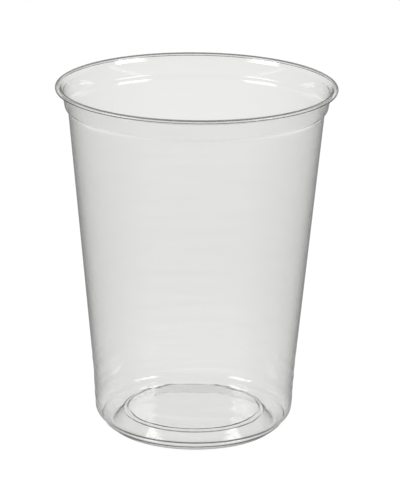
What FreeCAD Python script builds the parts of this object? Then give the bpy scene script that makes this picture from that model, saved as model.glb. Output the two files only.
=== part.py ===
import FreeCAD, Part
import math
import os

# A clear deli container, thermoformed from one plastic sheet of even thickness.
# Millimetres, +Z up. The origin is the middle of the ring that it stands on.
# Sizes are those of the outside face, and its corners are given before they are rounded.

SHEET = 0.45                  # thickness of the formed sheet
HEIGHT = 147.4                # from the table to the top of the rolled rim

# Rolled rim: the lip leaves the neck, the roll turns it over the top, and a tighter tail tucks it in
RIM_RADIUS = 58.5             # outermost radius of the container
ROLL_HOLLOW = 1.05            # radius of the hollow inside the roll
ROLL_SWEEP = 102.0            # degrees that the sheet turns through in the roll
TAIL_HOLLOW = 0.35            # radius of the hollow inside the tail
TAIL_SWEEP = 110.0            # degrees that the sheet turns through in the tail
LIP_ANGLE = 28.0              # lean of the lip where it runs into the roll, from vertical

# Neck band, where a lid grips, and the step below it that stacked containers rest on
NECK_INSET = 4.0              # from the rim's outermost radius in to the top of the step
NECK_TAPER = 10.0             # lean of the neck band, in degrees from vertical
STEP_DEPTH = 8.9              # from the top of the rim down to the top of the step
STEP_WIDTH = 1.4              # how far the step goes in
STEP_DROP = 1.6               # how far it goes down

# Tapered wall, a little steeper above the height where it breaks
WALL_BREAK_RADIUS = 42.6
WALL_BREAK_HEIGHT = 24.8
WALL_FOOT_RADIUS = 41.55      # lower end of the wall

# Heel, and the rounded foot below it
HEEL_WIDTH = 2.65             # the heel's underside slopes in by this much
HEEL_DROP = 1.5               # and down by this much, to the crease above the foot
FOOT_HEIGHT = 4.05            # from the table to that crease
SHOULDER_INSET = 0.4          # from the crease in to the foot's shoulder
SHOULDER_HEIGHT = 2.53        # from the table to the shoulder
FOOT_ROUND = 3.22             # from the shoulder in to the outer edge of the ring that it stands on

# Base inside the ring: a slope up to a flat border, and a disc one low step above it
DISC_HEIGHT = 5.85            # from the table to the disc's underside
DISC_RADIUS = 26.7
DISC_STEP = 0.9               # from the disc's edge out to the border
BORDER_HEIGHT = 5.5           # from the table to the border's underside
BORDER_RADIUS = 29.6          # outer edge of the border
BORDER_SLOPE = 4.2            # from the border's outer edge out to the ring

# Radius of the tighter face at each bend of the sheet
DISC_BEND = 0.15
DISC_FOOT_BEND = 0.1
BORDER_BEND = 0.15
RING_INNER_BEND = 0.7
RING_OUTER_BEND = 1.2
SHOULDER_BEND = 2.2
CREASE_BEND = 0.4
HEEL_BEND = 2.35
WALL_BREAK_BEND = 40.0
STEP_FOOT_BEND = 4.0
STEP_TOP_BEND = 1.4
LIP_BEND = 0.4


def offset(point, direction, distance):
    return (point[0] + direction[0] * distance, point[1] + direction[1] * distance)


def direction(a, b):
    length = math.hypot(b[0] - a[0], b[1] - a[1])
    return ((b[0] - a[0]) / length, (b[1] - a[1]) / length)


def leaning(degrees):
    """Upward and outward, by this angle from vertical."""
    return (math.sin(math.radians(degrees)), math.cos(math.radians(degrees)))


def left_of(d):
    return (-d[1], d[0])


def dot(a, b):
    return a[0] * b[0] + a[1] * b[1]


def crossing(a, along_a, b, along_b):
    """Where the line through a meets the line through b."""
    gap = (b[0] - a[0], b[1] - a[1])
    return offset(a, along_a, dot(gap, left_of(along_b)) / dot(along_a, left_of(along_b)))


def polar(centre, radius, degrees):
    return offset(centre, (math.cos(math.radians(degrees)), math.sin(math.radians(degrees))), radius)


def vector(point):
    return FreeCAD.Vector(point[0], 0, point[1])


def line(a, b):
    return Part.LineSegment(vector(a), vector(b)).toShape()


def arc(centre, radius, start, end):
    """Arc from one angle to another, in degrees."""
    points = [polar(centre, radius, angle) for angle in (start, (start + end) / 2, end)]
    return Part.Arc(*[vector(point) for point in points]).toShape()


def rounded(corners, shift):
    """Straight edges and tangent arcs along the corners, moved to the left by shift.

    A corner is a point and the radius of the tighter face of its bend."""
    points = [point for point, bend in corners]
    ways = [direction(a, b) for a, b in zip(points, points[1:])]
    reached = offset(points[0], left_of(ways[0]), shift)
    edges = []
    for before, after, (point, bend) in zip(ways, ways[1:], corners[1:]):
        turn = math.degrees(math.atan2(dot(left_of(before), after), dot(before, after)))
        side = math.copysign(1, turn)
        tight = 0 if side < 0 else SHEET
        radius = bend + tight - side * shift
        normal = left_of(direction((0, 0), (before[0] + after[0], before[1] + after[1])))
        centre = offset(point, normal, side * (bend + tight) / math.cos(math.radians(turn / 2)))
        facing = math.degrees(math.atan2(before[1], before[0])) - 90 * side
        bend_start = polar(centre, radius, facing)
        edges.append(line(reached, bend_start))
        edges.append(arc(centre, radius, facing, facing + turn))
        reached = polar(centre, radius, facing + turn)
    edges.append(line(reached, offset(points[-1], left_of(ways[-1]), shift)))
    return edges


def roll_and_tail():
    """Centres of the rim's roll and of its tail, which run into each other without a kink.

    The tail holds the outermost radius, and the roll the topmost height."""
    tail_start = 180 - LIP_ANGLE - ROLL_SWEEP
    from_roll = polar((0, 0), ROLL_HOLLOW - TAIL_HOLLOW, tail_start)
    roll = (RIM_RADIUS - TAIL_HOLLOW - SHEET - from_roll[0], HEIGHT - ROLL_HOLLOW - SHEET)
    return roll, offset(roll, from_roll, 1)


def corners_to_roll(roll):
    """The sheet's outside face, from the middle of the base out and up to the roll."""
    crease = WALL_FOOT_RADIUS - HEEL_WIDTH
    ring_outer = crease - SHOULDER_INSET - FOOT_ROUND
    ring_inner = BORDER_RADIUS + BORDER_SLOPE
    neck = (RIM_RADIUS - NECK_INSET, HEIGHT - STEP_DEPTH)
    roll_start = polar(roll, ROLL_HOLLOW, 180 - LIP_ANGLE)
    lip_foot = crossing(neck, leaning(NECK_TAPER), roll_start, leaning(LIP_ANGLE))
    return [
        ((0, DISC_HEIGHT), 0),
        ((DISC_RADIUS, DISC_HEIGHT), DISC_BEND),
        ((DISC_RADIUS + DISC_STEP, BORDER_HEIGHT), DISC_FOOT_BEND),
        ((BORDER_RADIUS, BORDER_HEIGHT), BORDER_BEND),
        ((ring_inner, 0), RING_INNER_BEND),
        ((ring_outer, 0), RING_OUTER_BEND),
        ((crease - SHOULDER_INSET, SHOULDER_HEIGHT), SHOULDER_BEND),
        ((crease, FOOT_HEIGHT), CREASE_BEND),
        ((WALL_FOOT_RADIUS, FOOT_HEIGHT + HEEL_DROP), HEEL_BEND),
        ((WALL_BREAK_RADIUS, WALL_BREAK_HEIGHT), WALL_BREAK_BEND),
        ((neck[0] - STEP_WIDTH, neck[1] - STEP_DROP), STEP_FOOT_BEND),
        (neck, STEP_TOP_BEND),
        (lip_foot, LIP_BEND),
        (roll_start, 0),
    ]


def curled(centre, hollow, start, sweep):
    """Both faces of the sheet where it curls clockwise round a centre."""
    return [arc(centre, radius, start, start - sweep) for radius in (hollow, hollow + SHEET)]


def section():
    """Half of the sheet's cross-section, as a face in the XZ plane."""
    roll, tail = roll_and_tail()
    roll_start = 180 - LIP_ANGLE
    tail_start = roll_start - ROLL_SWEEP
    tail_end = tail_start - TAIL_SWEEP
    corners = corners_to_roll(roll)
    edges = rounded(corners, 0) + rounded(corners, SHEET)
    edges += curled(roll, ROLL_HOLLOW, roll_start, ROLL_SWEEP)
    edges += curled(tail, TAIL_HOLLOW, tail_start, TAIL_SWEEP)
    edges.append(line(polar(tail, TAIL_HOLLOW, tail_end), polar(tail, TAIL_HOLLOW + SHEET, tail_end)))
    edges.append(line((0, DISC_HEIGHT), (0, DISC_HEIGHT + SHEET)))
    return Part.Face(Part.Wire(Part.__sortEdges__(edges)))


def deli_container():
    return section().revolve(FreeCAD.Vector(0, 0, 0), FreeCAD.Vector(0, 0, 1), 360)


os.makedirs("parts", exist_ok=True)
deli_container().exportStep("parts/deli_container.step")
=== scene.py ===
import math

import bpy
from mathutils import Matrix, Vector


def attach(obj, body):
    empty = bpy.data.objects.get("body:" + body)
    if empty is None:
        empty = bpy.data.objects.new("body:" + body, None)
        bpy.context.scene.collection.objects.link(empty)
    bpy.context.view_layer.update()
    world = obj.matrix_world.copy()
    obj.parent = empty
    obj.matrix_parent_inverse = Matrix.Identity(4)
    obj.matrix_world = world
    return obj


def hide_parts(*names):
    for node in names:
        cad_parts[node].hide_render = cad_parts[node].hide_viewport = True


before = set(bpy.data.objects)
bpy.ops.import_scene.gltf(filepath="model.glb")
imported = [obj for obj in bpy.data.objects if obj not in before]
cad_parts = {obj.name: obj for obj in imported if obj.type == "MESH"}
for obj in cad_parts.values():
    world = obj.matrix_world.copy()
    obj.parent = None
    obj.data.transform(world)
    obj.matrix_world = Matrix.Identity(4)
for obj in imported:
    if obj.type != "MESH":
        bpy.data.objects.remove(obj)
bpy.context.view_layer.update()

MM = 0.001                    # every length below is in millimetres unless it says otherwise

# The container: its outside face, by the corners before they are rounded. It follows the packed
# solid, but for the sheet's thickness in wall and rim, the hollow of the roll that goes with it,
# the edge of the disc, and the bends at the heel and at the inside of the ring.
BASE_SHEET = 0.45             # thickness of the sheet in the base and foot
WALL_SHEET = 0.4              # in the wall
NECK_SHEET = 0.45             # in the neck band
RIM_SHEET = 0.6               # in the lip and the rolled rim
HEIGHT = 147.4                # from the table to the top of the rolled rim
RIM_RADIUS = 58.5             # outermost radius
ROLL_HOLLOW = 0.9             # hollow radius of the rim where it rolls over the top
ROLL_SWEEP = 102.0            # degrees that the sheet turns through there
TAIL_HOLLOW = 0.2             # hollow radius of the tighter tail of the roll
TAIL_SWEEP = 110.0            # degrees that the tail turns through
LIP_ANGLE = 28.0              # lean of the lip below the roll, in degrees from vertical
NECK_INSET = 4.0              # from the rim's outermost radius in to the top of the step
NECK_TAPER = 10.0             # lean of the neck band, in degrees from vertical
STEP_DEPTH = 8.9              # from the top of the rim down to the top of the step
STEP_WIDTH = 1.4              # the step under the neck band: how far in it goes
STEP_DROP = 1.6               # and how far down
WALL_BREAK_RADIUS = 42.6      # where the wall turns steeper above the heel
WALL_BREAK_HEIGHT = 24.8
WALL_FOOT_RADIUS = 41.55      # lower end of the wall
HEEL_WIDTH = 2.65             # from there the heel goes in by this much
HEEL_DROP = 1.5               # and down by this much, to the crease above the foot
FOOT_HEIGHT = 4.05            # from the table to that crease
SHOULDER_INSET = 0.4          # from the crease in to the foot's shoulder
SHOULDER_HEIGHT = 2.53        # from the table to the shoulder
FOOT_ROUND = 3.22             # from the shoulder in to the ring that it stands on
DISC_HEIGHT = 6.2             # underside of the disc in the middle of the base
DISC_RADIUS = 27.6
DISC_STEP = 0.8               # from the disc's edge out to the border round it
BORDER_HEIGHT = 5.5           # underside of that border
BORDER_RADIUS = 29.6
BORDER_SLOPE = 4.2            # from the border's edge out to the ring

# Radius of the tighter face at each bend of the sheet, from the disc out and up
DISC_BEND = 0.15
DISC_FOOT_BEND = 0.1
BORDER_BEND = 0.15
RING_INNER_BEND = 1.25
RING_OUTER_BEND = 1.2
SHOULDER_BEND = 2.2
CREASE_BEND = 0.4
HEEL_BEND = 4.0
WALL_BREAK_BEND = 40.0
STEP_FOOT_BEND = 4.0
STEP_TOP_BEND = 1.4
LIP_BEND = 0.4

# How finely the sheet is divided
SEGMENTS = 192                # around the axis
BEND_STEP = 9.0               # degrees of a bend between two rings
EDGE_STEP = 30                # degrees of the rounded free edge between two rings
LONGEST_STEP = 1.0            # between two rings where the sheet is straight

# Ripples that drawing the sheet leaves: between two heights, how deep each wave is, and for each wave
# how often it goes round, how it climbs (radians per millimetre) and where it starts (radians)
RIPPLES = [
    (5.0, 34.0, 0.03, [(2, 1.55, 0.3), (3, 1.16, 1.9), (-2, 0.83, 4.2), (5, 0.52, 2.6)]),
    (112.0, 137.0, 0.008, [(2, 1.7, 1.1), (-3, 1.2, 0.2), (3, 0.8, 3.3)]),
]
RIPPLE_FADE = 5.0             # height over which they set in and die out
RIPPLE_STEP = 0.05            # over which their slope is measured

# Plastic. A spread is the part of a noise that its effect grows over, from none to all of it.
PLASTIC_TINT = (1.0, 1.0, 0.993, 1.0)     # what one sheet lets through
PLASTIC_IOR = 1.57
PLASTIC_DYE = (0.35, 0.35, 0.25, 1.0)     # what long ways inside the sheet take their colour from
PLASTIC_DENSITY = 80.0        # and how strongly, per metre
BAND_TINT = (0.988, 0.99, 0.986, 1.0)     # tint where drawing left the sheet a little thicker
BAND_CELLS = (25.0, 25.0, 300.0)          # cells per metre of those faint bands
BAND_DETAIL = 2.0
BAND_SPREAD = (0.45, 0.7)
BAND_RELIEF = 0.001           # their depth
HAZE = 0.012                  # roughness where the sheet is least clear
HAZE_CELLS = (60.0, 60.0, 90.0)
HAZE_DETAIL = 3.0
HAZE_SPREAD = (0.4, 0.7)
SCUFF_ROUGHNESS = 0.3         # of the scuffs on the foot and the rim
SCUFF_CELLS = (900.0, 900.0, 900.0)
SCUFF_DETAIL = 4.0
SCUFF_SPREAD = (0.5, 0.65)
WEAR_HEIGHT = 0.8             # how far up the foot and down the rim they reach
SHADOW_TINT = (0.985, 0.985, 0.985, 1.0)  # what one face lets through to the floor
LONGEST_PATH = 32             # how many faces a ray may pass
MOST_MIRRORED = 16            # how many faces it may be mirrored by

# Studio. Levels are in units of plain white, and heights are those of a direction, from -1 straight
# down to 1 straight up.
AMBIENT = 0.82                # world light on the floor
FLOOR_RADIUS = 4.0            # metres
FLOOR_SIDES = 72
FLOOR_ALBEDO = 0.33           # how much of the light on it the floor gives back
FLOOR_LIFT = 0.7              # how much it glows besides, so that open floor comes out white
BACKDROP = 0.875              # floor and backdrop as they show through the plastic
PAINTED_NEAR_LIGHT = 0.035             # painted light: how much lighter the floor shows there close to the container
NEAR_REACH = (90.0, 200.0)    # where that starts and has done fading
FAR_LIFT = 0.03               # and how much lighter far away from it
FAR_REACH = (280.0, 500.0)    # where that sets in and is full
SEEN_THROUGH = [(-1.0, BACKDROP), (0.35, BACKDROP), (0.55, 0.1), (1.0, 0.1)]
# What the plastic mirrors, each a height and a level: of the room in front, of the backdrop behind,
# and of what lies to each side of that backdrop
MIRRORED_FRONT = [
    (-1.0, 0.3), (-0.55, 0.3), (-0.4, 0.35), (-0.3, 0.65), (-0.2, 0.38), (-0.12, 0.28),
    (0.35, 0.28), (0.5, 0.12), (1.0, 0.12),
]
MIRRORED_BACKDROP = [
    (-1.0, 0.9), (-0.38, 0.9), (-0.34, 0.3), (-0.26, 0.3), (-0.12, 0.22),
    (0.24, 0.22), (0.3, 0.74), (0.36, 0.74), (0.45, 0.12), (1.0, 0.12),
]
MIRRORED_BACK = [
    (-1.0, 0.9), (-0.56, 0.9), (-0.45, 0.35), (-0.35, 0.25), (-0.25, 0.3), (-0.12, 0.42),
    (0.24, 0.42), (0.3, 0.74), (0.36, 0.74), (0.45, 0.12), (1.0, 0.12),
]
BEHIND = (-0.2, 0.4)          # how far back a direction points: up to the first it is in front of
                              # the axis, from the second on behind it
BACKDROP_REACH = (0.15, 0.38)  # how far to each side the backdrop reaches, and where it has faded out
MIRRORED_REACH = (0.7, 0.98)  # how far to each side any of this reaches, and where it has faded out
ROOM_LEVEL = 0.12             # the room beyond that
UNDER_PAINTED_SHADE = 0.2             # painted shadow, a flat dark glow: the floor under and close round the container, as the plastic mirrors it
UNDER_RADIUS = (48.0, 60.0)   # where that fades out
UNDER_BACK = (-25.0, 5.0)     # towards the back, where it fades out as well
SOFTBOX_LEVEL = 3.8           # of the lamps
SOFTBOX_ON_FLOOR = 0.4        # share of their light that reaches the floor
SOFTBOX_SIZE = (0.92, 0.66)   # metres
SOFTBOX_SOFT_EDGE = 0.2       # share of the size over which each edge fades
SOFTBOX_DISTANCE = 1.5        # metres
SOFTBOX_AZIMUTH = 65.0        # degrees to each side of the camera
SOFTBOX_ELEVATION = 33.0      # degrees

# Camera
CAMERA_DISTANCE = 1.2187      # metres in front of the axis
CAMERA_HEIGHT = 0.4551        # metres
CAMERA_PITCH = 17.277         # degrees downwards
CAMERA_ROLL = 0.6164          # degrees
CAMERA_YAW = 0.0973           # degrees
CAMERA_LENS = 219.05          # millimetres on a 36 mm sensor
CAMERA_FAR = 100.0            # metres, beyond everything in the scene


# Shape of the sheet -------------------------------------------------------------------

def moved(point, way, distance):
    return (point[0] + way[0] * distance, point[1] + way[1] * distance)


def way_between(a, b):
    length = math.dist(a, b)
    return ((b[0] - a[0]) / length, (b[1] - a[1]) / length)


def way_at(degrees):
    return (math.cos(math.radians(degrees)), math.sin(math.radians(degrees)))


def left_of(way):
    return (-way[1], way[0])


def dot(a, b):
    return a[0] * b[0] + a[1] * b[1]


def crossing(a, along_a, b, along_b):
    gap = (b[0] - a[0], b[1] - a[1])
    return moved(a, along_a, dot(gap, left_of(along_b)) / dot(along_a, left_of(along_b)))


def sheet_corners():
    """Corners of the outside face, from the middle of the base to the roll, and the centres of the
    roll and its tail. Each corner is a point, the radius of its bend, and the sheet's thickness."""
    tail_way = way_at(180 - LIP_ANGLE - ROLL_SWEEP)
    tail_offset = moved((0, 0), tail_way, ROLL_HOLLOW - TAIL_HOLLOW)
    roll_centre = (
        RIM_RADIUS - TAIL_HOLLOW - RIM_SHEET - tail_offset[0],
        HEIGHT - ROLL_HOLLOW - RIM_SHEET,
    )
    tail_centre = (roll_centre[0] + tail_offset[0], roll_centre[1] + tail_offset[1])
    roll_start = moved(roll_centre, way_at(180 - LIP_ANGLE), ROLL_HOLLOW)
    crease = WALL_FOOT_RADIUS - HEEL_WIDTH
    ring_outer = crease - SHOULDER_INSET - FOOT_ROUND
    ring_inner = BORDER_RADIUS + BORDER_SLOPE
    neck = (RIM_RADIUS - NECK_INSET, HEIGHT - STEP_DEPTH)
    lip_foot = crossing(neck, way_at(90 - NECK_TAPER), roll_start, way_at(90 - LIP_ANGLE))
    corners = [
        ((0, DISC_HEIGHT), 0, BASE_SHEET),
        ((DISC_RADIUS, DISC_HEIGHT), DISC_BEND, BASE_SHEET),
        ((DISC_RADIUS + DISC_STEP, BORDER_HEIGHT), DISC_FOOT_BEND, BASE_SHEET),
        ((BORDER_RADIUS, BORDER_HEIGHT), BORDER_BEND, BASE_SHEET),
        ((ring_inner, 0), RING_INNER_BEND, BASE_SHEET),
        ((ring_outer, 0), RING_OUTER_BEND, BASE_SHEET),
        ((crease - SHOULDER_INSET, SHOULDER_HEIGHT), SHOULDER_BEND, BASE_SHEET),
        ((crease, FOOT_HEIGHT), CREASE_BEND, BASE_SHEET),
        ((WALL_FOOT_RADIUS, FOOT_HEIGHT + HEEL_DROP), HEEL_BEND, BASE_SHEET),
        ((WALL_BREAK_RADIUS, WALL_BREAK_HEIGHT), WALL_BREAK_BEND, WALL_SHEET),
        ((neck[0] - STEP_WIDTH, neck[1] - STEP_DROP), STEP_FOOT_BEND, WALL_SHEET),
        (neck, STEP_TOP_BEND, NECK_SHEET),
        (lip_foot, LIP_BEND, RIM_SHEET),
        (roll_start, 0, RIM_SHEET),
    ]
    return corners, roll_centre, tail_centre


def straight(start, end, normal, sheets):
    """Places from start towards end, without end. Each is a point, the way in, and the sheet's
    thickness, which goes from the first of sheets to the second."""
    length = math.dist(start, end)
    steps = max(1, math.ceil(length / LONGEST_STEP))
    way = way_between(start, end)
    places = []
    for i in range(steps):
        share = i / steps
        sheet = sheets[0] + (sheets[1] - sheets[0]) * share
        places.append((moved(start, way, length * share), normal, sheet))
    return places


def bend(centre, radius, start, turn, side, sheet):
    """Places round an arc, without its end. side is 1 where the arc is hollow towards the inside of
    the container, and -1 where it is hollow towards the outside."""
    steps = max(2, math.ceil(abs(turn) / BEND_STEP))
    places = []
    for i in range(steps):
        out = way_at(start + turn * i / steps)
        places.append((moved(centre, out, radius), (-out[0] * side, -out[1] * side), sheet))
    return places


def sheet_path():
    """Places along the outside face, from the middle of the base out, up and round the roll."""
    corners, roll_centre, tail_centre = sheet_corners()
    points = [corner[0] for corner in corners]
    ways = [way_between(a, b) for a, b in zip(points, points[1:])]
    places = []
    reached = points[0]
    last_sheet = corners[0][2]
    for before, after, (point, tight_radius, sheet) in zip(ways, ways[1:], corners[1:]):
        turn = math.degrees(math.atan2(dot(left_of(before), after), dot(before, after)))
        side = math.copysign(1, turn)
        radius = tight_radius + (sheet if side > 0 else 0)
        middle = left_of(way_between((0, 0), (before[0] + after[0], before[1] + after[1])))
        centre = moved(point, middle, side * radius / math.cos(math.radians(turn / 2)))
        start = math.degrees(math.atan2(before[1], before[0])) - 90 * side
        bend_start = moved(centre, way_at(start), radius)
        places += straight(reached, bend_start, left_of(before), (last_sheet, sheet))
        places += bend(centre, radius, start, turn, side, sheet)
        reached = moved(centre, way_at(start + turn), radius)
        last_sheet = sheet
    places += straight(reached, points[-1], left_of(ways[-1]), (last_sheet, RIM_SHEET))
    lip = 180 - LIP_ANGLE
    tail = lip - ROLL_SWEEP
    places += bend(roll_centre, ROLL_HOLLOW, lip, -ROLL_SWEEP, -1, RIM_SHEET)
    places += bend(tail_centre, TAIL_HOLLOW, tail, -TAIL_SWEEP, -1, RIM_SHEET)
    out = way_at(tail - TAIL_SWEEP)
    places.append((moved(tail_centre, out, TAIL_HOLLOW), out, RIM_SHEET))
    return places


def free_edge(place):
    """The rounded free edge of the sheet, from its outside face to its inside face."""
    point, normal, sheet = place
    middle = moved(point, normal, sheet / 2)
    ahead = (normal[1], -normal[0])
    rings = []
    for degrees in range(EDGE_STEP, 180, EDGE_STEP):
        across, along = way_at(degrees)
        out = (ahead[0] * along - normal[0] * across, ahead[1] * along - normal[1] * across)
        rings.append((moved(middle, out, sheet / 2), out))
    return rings


def fade(value, start, end):
    """0 at start, 1 at end, smooth between them and even beyond. start may be the higher one."""
    share = min(1.0, max(0.0, (value - start) / (end - start)))
    return share * share * (3 - 2 * share)


def ripple(angle, height):
    """How far the drawn sheet stands out of true, in millimetres."""
    amount = 0
    for low, high, size, waves in RIPPLES:
        share = fade(height, low, low + RIPPLE_FADE) * fade(height, high, high - RIPPLE_FADE)
        if share > 0:
            phases = (turns * angle + height * climb + start for turns, climb, start in waves)
            amount += share * size * sum(math.sin(phase) for phase in phases)
    return amount


def turned(point, normal, angle):
    """A place on the line, turned about the axis, with the ripples of the sheet on it."""
    radius, height = point
    step = RIPPLE_STEP
    out = radius + ripple(angle, height)
    up_slope = (ripple(angle, height + step) - ripple(angle, height - step)) / (2 * step)
    turn = step / max(radius, step)
    side_slope = (ripple(angle + turn, height) - ripple(angle - turn, height)) / (2 * step)
    c, s = math.cos(angle), math.sin(angle)
    across = -normal[0] * side_slope
    vert = (out * c * MM, out * s * MM, height * MM)
    tilted = Vector((
        normal[0] * c - across * s,
        normal[0] * s + across * c,
        normal[1] - normal[0] * up_slope,
    ))
    return vert, tilted.normalized()


def lathe(name, places):
    """The sheet as one closed mesh: out along one face, round the free edge and back along the other."""
    outside = [(point, (-normal[0], -normal[1])) for point, normal, sheet in places]
    inside = [(moved(point, normal, sheet), normal) for point, normal, sheet in places]
    rings = outside[1:] + free_edge(places[-1]) + inside[:0:-1]
    verts, normals, faces = [], [], []
    for point, normal in rings:
        for k in range(SEGMENTS):
            vert, tilted = turned(point, normal, 2 * math.pi * k / SEGMENTS)
            verts.append(vert)
            normals.append(tilted)
    for j in range(len(rings) - 1):
        for k in range(SEGMENTS):
            a = j * SEGMENTS + k
            b = j * SEGMENTS + (k + 1) % SEGMENTS
            faces.append((a, b, b + SEGMENTS, a + SEGMENTS))
    last = len(verts) - SEGMENTS
    verts += [(0, 0, outside[0][0][1] * MM), (0, 0, inside[0][0][1] * MM)]
    normals += [(0, 0, -1), (0, 0, 1)]
    for k in range(SEGMENTS):
        beside = (k + 1) % SEGMENTS
        faces.append((len(verts) - 2, beside, k))
        faces.append((len(verts) - 1, last + k, last + beside))
    mesh = bpy.data.meshes.new(name)
    mesh.from_pydata(verts, [], faces)
    mesh.polygons.foreach_set("use_smooth", [True] * len(faces))
    mesh.normals_split_custom_set_from_vertices(normals)
    piece = bpy.data.objects.new(name, mesh)
    bpy.context.scene.collection.objects.link(piece)
    return piece


# Node building ------------------------------------------------------------------------

def node_tree(owner):
    owner.use_nodes = True
    tree = owner.node_tree
    tree.nodes.clear()
    return tree


def plug(tree, value, socket):
    """Give a socket its value, which is another socket or a number."""
    if isinstance(value, (int, float)):
        socket.default_value = value
    else:
        tree.links.new(value, socket)


def axes_of(tree, vector):
    """The three axes of a vector, as sockets by name."""
    split = tree.nodes.new("ShaderNodeSeparateXYZ")
    tree.links.new(vector, split.inputs[0])
    return split.outputs


def stretched_noise(tree, cells, detail):
    """Noise of a size of its own along each axis: cells per metre along X, Y and Z."""
    place = tree.nodes.new("ShaderNodeTexCoord")
    stretch = tree.nodes.new("ShaderNodeVectorMath")
    stretch.operation = "MULTIPLY"
    stretch.inputs[1].default_value = cells
    noise = tree.nodes.new("ShaderNodeTexNoise")
    noise.inputs["Scale"].default_value = 1.0
    noise.inputs["Detail"].default_value = detail
    tree.links.new(place.outputs["Object"], stretch.inputs[0])
    tree.links.new(stretch.outputs[0], noise.inputs["Vector"])
    return noise.outputs["Fac"]


def ranged(tree, value, reach, low=0, high=1, smooth=False):
    """The value's way from the reach's first number to its second becomes low to high, and no further."""
    node = tree.nodes.new("ShaderNodeMapRange")
    node.interpolation_type = "SMOOTHSTEP" if smooth else "LINEAR"
    for name, number in zip(("From Min", "From Max", "To Min", "To Max"), (*reach, low, high)):
        node.inputs[name].default_value = number
    tree.links.new(value, node.inputs["Value"])
    return node.outputs[0]


def combined(tree, operation, *values):
    """One step of arithmetic on one or two values, each a socket or a number."""
    node = tree.nodes.new("ShaderNodeMath")
    node.operation = operation
    for value, socket in zip(values, node.inputs):
        plug(tree, value, socket)
    return node.outputs[0]


def mixed(tree, factor, a, b):
    """One number where factor is 0 and the other where it is 1. Each is a socket or a number."""
    mix = tree.nodes.new("ShaderNodeMix")
    for name, value in (("Factor", factor), ("A", a), ("B", b)):
        plug(tree, value, mix.inputs[name])
    return mix.outputs[0]


def mixed_shader(tree, factor, a, b):
    """One shader where factor is 0 and the other where it is 1."""
    mix = tree.nodes.new("ShaderNodeMixShader")
    for value, socket in zip((factor, a, b), mix.inputs):
        tree.links.new(value, socket)
    return mix.outputs[0]


def glowing(tree, level):
    """A shader that glows at this level, whatever falls on it."""
    glow = tree.nodes.new("ShaderNodeEmission")
    plug(tree, level, glow.inputs["Strength"])
    return glow.outputs[0]


def level_ramp(tree, height, stops):
    """A level read off a list of heights, from -1 to 1, and levels. height here is from 0 to 1."""
    ramp = tree.nodes.new("ShaderNodeValToRGB")
    elements = ramp.color_ramp.elements
    while len(elements) < len(stops):
        elements.new(0.5)
    for element, (direction_height, level) in zip(elements, stops):
        element.position = (direction_height + 1) / 2
        element.color = (level, level, level, 1)
    tree.links.new(height, ramp.inputs[0])
    return ramp.outputs["Color"]


def has_been(tree, path, kind):
    """1 on a path that has been mirrored (Glossy) or scattered (Diffuse) on its way, else 0."""
    return combined(tree, "GREATER_THAN", path.outputs[kind + " Depth"], 0.5)


# Plastic ------------------------------------------------------------------------------

def worn_edges(tree):
    """1 on the ring that it stands on and on top of the rim, where it is rubbed, and 0 elsewhere."""
    place = tree.nodes.new("ShaderNodeTexCoord")
    height = axes_of(tree, place.outputs["Object"])["Z"]
    foot = ranged(tree, height, (0, WEAR_HEIGHT * MM), 1, 0)
    rim = ranged(tree, height, ((HEIGHT - WEAR_HEIGHT) * MM, HEIGHT * MM))
    return combined(tree, "MAXIMUM", foot, rim)


def clear_plastic():
    material = bpy.data.materials.new("clear_plastic")
    tree = node_tree(material)
    new, link = tree.nodes.new, tree.links.new
    bands = stretched_noise(tree, BAND_CELLS, BAND_DETAIL)
    tint = new("ShaderNodeMix")
    tint.data_type = "RGBA"
    tint.inputs["A"].default_value = PLASTIC_TINT
    tint.inputs["B"].default_value = BAND_TINT
    link(ranged(tree, bands, BAND_SPREAD), tint.inputs["Factor"])
    haze = ranged(tree, stretched_noise(tree, HAZE_CELLS, HAZE_DETAIL), HAZE_SPREAD, 0, HAZE)
    scuff_noise = stretched_noise(tree, SCUFF_CELLS, SCUFF_DETAIL)
    scuffs = ranged(tree, scuff_noise, SCUFF_SPREAD, 0, SCUFF_ROUGHNESS)
    rubbed = combined(tree, "MULTIPLY", scuffs, worn_edges(tree))
    relief = new("ShaderNodeBump")
    relief.inputs["Strength"].default_value = 1.0
    relief.inputs["Distance"].default_value = BAND_RELIEF * MM
    link(bands, relief.inputs["Height"])
    plastic = new("ShaderNodeBsdfPrincipled")
    plastic.inputs["IOR"].default_value = PLASTIC_IOR
    plastic.inputs["Transmission Weight"].default_value = 1.0
    link(tint.outputs["Result"], plastic.inputs["Base Color"])
    link(combined(tree, "MAXIMUM", haze, rubbed), plastic.inputs["Roughness"])
    link(relief.outputs[0], plastic.inputs["Normal"])
    lit_through = new("ShaderNodeBsdfTransparent")
    lit_through.inputs["Color"].default_value = SHADOW_TINT
    path = new("ShaderNodeLightPath")
    soft_rays = combined(tree, "MAXIMUM", path.outputs["Is Shadow Ray"], path.outputs["Is Diffuse Ray"])
    surface = mixed_shader(tree, soft_rays, plastic.outputs[0], lit_through.outputs[0])
    depth = new("ShaderNodeVolumeAbsorption")
    depth.inputs["Color"].default_value = PLASTIC_DYE
    depth.inputs["Density"].default_value = PLASTIC_DENSITY
    output = new("ShaderNodeOutputMaterial")
    link(surface, output.inputs["Surface"])
    link(depth.outputs[0], output.inputs["Volume"])
    return material


# Studio -------------------------------------------------------------------------------

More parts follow.
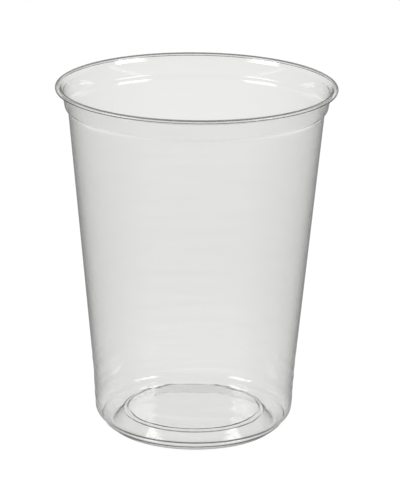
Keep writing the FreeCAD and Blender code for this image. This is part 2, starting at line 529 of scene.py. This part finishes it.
def studio_world():
    """White as seen straight, and by direction as it shows through the plastic or is mirrored by it."""
    world = bpy.data.worlds.new("studio")
    bpy.context.scene.world = world
    tree = node_tree(world)
    path = tree.nodes.new("ShaderNodeLightPath")
    place = tree.nodes.new("ShaderNodeTexCoord")
    direction = axes_of(tree, place.outputs["Generated"])
    height = ranged(tree, direction["Z"], (-1, 1))
    sideways = combined(tree, "ABSOLUTE", direction["X"])
    front, backdrop, beside, through = (
        level_ramp(tree, height, stops)
        for stops in (MIRRORED_FRONT, MIRRORED_BACKDROP, MIRRORED_BACK, SEEN_THROUGH)
    )
    back = mixed(tree, ranged(tree, sideways, BACKDROP_REACH), backdrop, beside)
    studio = mixed(tree, ranged(tree, direction["Y"], BEHIND), front, back)
    in_mirror = mixed(tree, ranged(tree, sideways, MIRRORED_REACH), studio, ROOM_LEVEL)
    unmirrored = mixed(tree, path.outputs["Is Transmission Ray"], 1.0, through)
    seen = mixed(tree, has_been(tree, path, "Glossy"), unmirrored, in_mirror)
    background = tree.nodes.new("ShaderNodeBackground")
    background.inputs["Color"].default_value = (1, 1, 1, 1)
    plug(tree, mixed(tree, has_been(tree, path, "Diffuse"), seen, AMBIENT), background.inputs["Strength"])
    output = tree.nodes.new("ShaderNodeOutputWorld")
    tree.links.new(background.outputs[0], output.inputs["Surface"])


def floor_paper():
    """Lit paper that glows enough to come out white, a little darker as it shows through the plastic, with
    painted light making it lighter there close round the container.
    Mirrored by the plastic it carries a painted shadow, a flat dark glow under the front of the container
    and close round it, and elsewhere the world stands for it."""
    material = bpy.data.materials.new("floor")
    tree = node_tree(material)
    new, link = tree.nodes.new, tree.links.new
    path = new("ShaderNodeLightPath")
    place = new("ShaderNodeTexCoord")
    from_axis = new("ShaderNodeVectorMath")
    from_axis.operation = "LENGTH"
    link(place.outputs["Object"], from_axis.inputs[0])
    distance = from_axis.outputs["Value"]

    def over(reach, value, low=0, high=1):
        return ranged(tree, value, [limit * MM for limit in reach], low, high)

    plain = FLOOR_LIFT + BACKDROP - 1
    # Painted light: seen through the plastic, the floor glows lighter close round the container
    near = over(NEAR_REACH, distance, plain + PAINTED_NEAR_LIGHT, plain)
    far = over(FAR_REACH, distance, plain, plain + FAR_LIFT)
    through = combined(tree, "MAXIMUM", near, far)
    paper = new("ShaderNodeBsdfDiffuse")
    paper.inputs["Color"].default_value = (FLOOR_ALBEDO, FLOOR_ALBEDO, FLOOR_ALBEDO, 1)
    open_floor = new("ShaderNodeAddShader")
    link(paper.outputs[0], open_floor.inputs[0])
    link(glowing(tree, mixed(tree, path.outputs["Is Transmission Ray"], FLOOR_LIFT, through)),
         open_floor.inputs[1])
    # Painted shadow: mirrored by the plastic, the floor under the front of the container is a flat dark
    # glow that fades out sideways and towards the back
    behind = over(UNDER_BACK, axes_of(tree, place.outputs["Object"])["Y"])
    outside = combined(tree, "MAXIMUM", over(UNDER_RADIUS, distance), behind)
    beyond = new("ShaderNodeBsdfTransparent")
    in_mirror = mixed_shader(tree, outside, glowing(tree, UNDER_PAINTED_SHADE), beyond.outputs[0])
    output = new("ShaderNodeOutputMaterial")
    link(mixed_shader(tree, has_been(tree, path, "Glossy"), open_floor.outputs[0], in_mirror),
         output.inputs["Surface"])
    return material


def studio_floor():
    angles = [math.radians(360 * k / FLOOR_SIDES) for k in range(FLOOR_SIDES)]
    verts = [(FLOOR_RADIUS * math.cos(angle), FLOOR_RADIUS * math.sin(angle), 0) for angle in angles]
    mesh = bpy.data.meshes.new("floor")
    mesh.from_pydata(verts, [], [tuple(range(FLOOR_SIDES))])
    mesh.materials.append(floor_paper())
    floor = bpy.data.objects.new("floor", mesh)
    bpy.context.scene.collection.objects.link(floor)


def soft_edges(light):
    """The lamp fades towards its four edges, as the cloth front of a softbox does."""
    tree = node_tree(light)
    place = tree.nodes.new("ShaderNodeNewGeometry")
    across = axes_of(tree, place.outputs["Parametric"])
    fades = []
    for side in ("X", "Y"):
        from_middle = combined(tree, "ABSOLUTE", combined(tree, "SUBTRACT", across[side], 0.5))
        fades.append(ranged(tree, from_middle, (0.5, 0.5 - SOFTBOX_SOFT_EDGE), smooth=True))
    output = tree.nodes.new("ShaderNodeOutputLight")
    tree.links.new(glowing(tree, combined(tree, "MULTIPLY", *fades)), output.inputs[0])


def softbox(name, azimuth):
    """A soft lamp that lights and is mirrored but isn't seen itself. azimuth is from the camera's side."""
    light = bpy.data.lights.new(name, "AREA")
    light.shape = "RECTANGLE"
    light.size, light.size_y = SOFTBOX_SIZE
    light.diffuse_factor = SOFTBOX_ON_FLOOR
    light.energy = SOFTBOX_LEVEL * math.pi * light.size * light.size_y
    soft_edges(light)
    lamp = bpy.data.objects.new(name, light)
    around = math.radians(azimuth)
    up = math.radians(SOFTBOX_ELEVATION)
    place = Vector((math.sin(around) * math.cos(up), -math.cos(around) * math.cos(up), math.sin(up)))
    lamp.location = place * SOFTBOX_DISTANCE
    lamp.rotation_euler = place.to_track_quat("Z", "Y").to_euler()
    lamp.visible_camera = False
    bpy.context.scene.collection.objects.link(lamp)


def photo_camera():
    data = bpy.data.cameras.new("camera")
    data.lens = CAMERA_LENS
    data.clip_end = CAMERA_FAR
    camera = bpy.data.objects.new("camera", data)
    yaw, pitch, roll = (math.radians(v) for v in (CAMERA_YAW, CAMERA_PITCH, CAMERA_ROLL))
    ahead = Vector((math.sin(yaw), math.cos(yaw), 0))
    side = Vector((math.cos(yaw), -math.sin(yaw), 0))
    forward = ahead * math.cos(pitch) - Vector((0, 0, math.sin(pitch)))
    over = ahead * math.sin(pitch) + Vector((0, 0, math.cos(pitch)))
    right = side * math.cos(roll) + over * math.sin(roll)
    up = over * math.cos(roll) - side * math.sin(roll)
    facing = Matrix((right, up, -forward)).transposed().to_4x4()
    camera.matrix_world = Matrix.Translation((0, -CAMERA_DISTANCE, CAMERA_HEIGHT)) @ facing
    bpy.context.scene.collection.objects.link(camera)
    bpy.context.scene.camera = camera


scene = bpy.context.scene
scene.view_settings.view_transform = "Standard"
scene.cycles.max_bounces = LONGEST_PATH
scene.cycles.transmission_bounces = LONGEST_PATH
scene.cycles.transparent_max_bounces = LONGEST_PATH
scene.cycles.glossy_bounces = MOST_MIRRORED

container = lathe("deli_container_sheet", sheet_path())
container.data.materials.append(clear_plastic())
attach(container, "root")
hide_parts("deli_container")

studio_world()
studio_floor()
softbox("softbox_left", -SOFTBOX_AZIMUTH)
softbox("softbox_right", SOFTBOX_AZIMUTH)
photo_camera()
